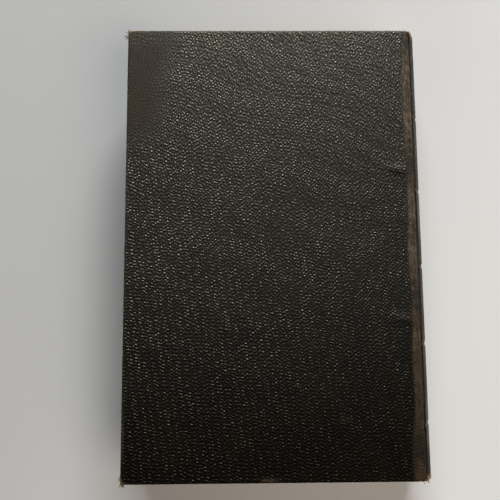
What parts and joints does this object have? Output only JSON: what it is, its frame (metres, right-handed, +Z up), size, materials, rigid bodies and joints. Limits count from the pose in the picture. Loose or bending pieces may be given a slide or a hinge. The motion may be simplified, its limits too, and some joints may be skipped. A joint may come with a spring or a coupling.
{
  "type": "prayer book",
  "caption": "Small case-bound prayer book in black pebble-grained cloth, with a rounded spine, hinged covers, sewn sections and leaves that turn with the back cover.",
  "frame": {"origin": "centre of the closed book's box, at its lowest face, which is the front cover's outer face", "axes": "+X from the fore-edge to the spine, +Y from tail to head, +Z up through the book from the front cover to the back cover"},
  "size_m": [0.1015, 0.152, 0.022],
  "materials": {
    "grained_cloth": "black-brown pebble-grained coated book cloth, slightly glossy on the pebbles",
    "worn_cloth": "the same cloth worn brown along the joint",
    "binders_board": "matte millboard",
    "endpaper": "matte, aged cream",
    "leaf_paper": "matte thin book paper, aged",
    "lining_paper": "matte brown kraft",
    "gauze": "open starched cotton gauze",
    "linen_tape": "woven linen tape",
    "linen_thread": "waxed linen thread",
    "band_cloth": "cotton headband, faded red and cream"
  },
  "bodies": {
    "text_block": {"spine_cloth": "grained_cloth", "spine_inlay": "binders_board", "spine_lining": "lining_paper", "mull": "gauze", "sewing_tapes": "linen_tape", "sewing_thread": "linen_thread", "headband": "band_cloth", "tailband": "band_cloth", "front_flyleaf": "endpaper", "section_01": "leaf_paper", "section_02": "leaf_paper", "section_03": "leaf_paper", "section_04": "leaf_paper", "section_05": "leaf_paper", "section_06": "leaf_paper", "section_07": "leaf_paper", "section_08": "leaf_paper", "section_09": "leaf_paper", "section_10": "leaf_paper", "section_11_fold": "leaf_paper", "section_12_fold": "leaf_paper"},
    "back_cover": {"back_board": "binders_board", "back_cover_cloth": "grained_cloth", "back_joint_cloth": "worn_cloth", "back_pastedown": "endpaper", "back_mull_flange": "gauze", "back_tape_slips": "linen_tape", "back_joint_lining": "endpaper"},
    "front_cover": {"front_board": "binders_board", "front_cover_cloth": "grained_cloth", "front_joint_cloth": "worn_cloth", "front_pastedown": "endpaper", "front_mull_flange": "gauze", "front_tape_slips": "linen_tape", "front_joint_lining": "endpaper"},
    "back_flyleaf_turning": {"back_flyleaf": "endpaper"},
    "leaves_a_turning": {"leaves_a": "leaf_paper"},
    "leaves_b_turning": {"leaves_b": "leaf_paper"},
    "leaves_c_turning": {"leaves_c": "leaf_paper"},
    "leaves_d_turning": {"leaves_d": "leaf_paper"}
  },
  "joints": [
    {"name": "back_cover_hinge", "type": "hinge", "parent": "text_block", "child": "back_cover", "pos_m": [0.04775, 0, 0.0207], "axis": [0, 1, 0], "range_deg": [0, 179.5], "deforming": ["back_joint_cloth", "back_joint_lining"]},
    {"name": "front_cover_hinge", "type": "hinge", "parent": "text_block", "child": "front_cover", "pos_m": [0.04775, 0, 0.0013], "axis": [0, -1, 0], "range_deg": [0, 179.5], "deforming": ["front_joint_cloth", "front_joint_lining"]},
    {"name": "back_flyleaf_turn", "type": "hinge", "parent": "text_block", "child": "back_flyleaf_turning", "pos_m": [0.04775, 0, 0.0207], "axis": [0, 1, 0], "range_deg": [0, 173.3]},
    {"name": "leaves_a_turn", "type": "hinge", "parent": "text_block", "child": "leaves_a_turning", "pos_m": [0.04775, 0, 0.0207], "axis": [0, 1, 0], "range_deg": [0, 167]},
    {"name": "leaves_b_turn", "type": "hinge", "parent": "text_block", "child": "leaves_b_turning", "pos_m": [0.04775, 0, 0.0207], "axis": [0, 1, 0], "range_deg": [0, 159.8]},
    {"name": "leaves_c_turn", "type": "hinge", "parent": "text_block", "child": "leaves_c_turning", "pos_m": [0.04775, 0, 0.0207], "axis": [0, 1, 0], "range_deg": [0, 152.6]},
    {"name": "leaves_d_turn", "type": "hinge", "parent": "text_block", "child": "leaves_d_turning", "pos_m": [0.04775, 0, 0.0207], "axis": [0, 1, 0], "range_deg": [0, 145.4]}
  ],
  "couplings": [
    {"joint": "back_flyleaf_turn", "follows": "back_cover_hinge", "ratio": 0.965},
    {"joint": "leaves_a_turn", "follows": "back_cover_hinge", "ratio": 0.93},
    {"joint": "leaves_b_turn", "follows": "back_cover_hinge", "ratio": 0.89},
    {"joint": "leaves_c_turn", "follows": "back_cover_hinge", "ratio": 0.85},
    {"joint": "leaves_d_turn", "follows": "back_cover_hinge", "ratio": 0.81}
  ]
}
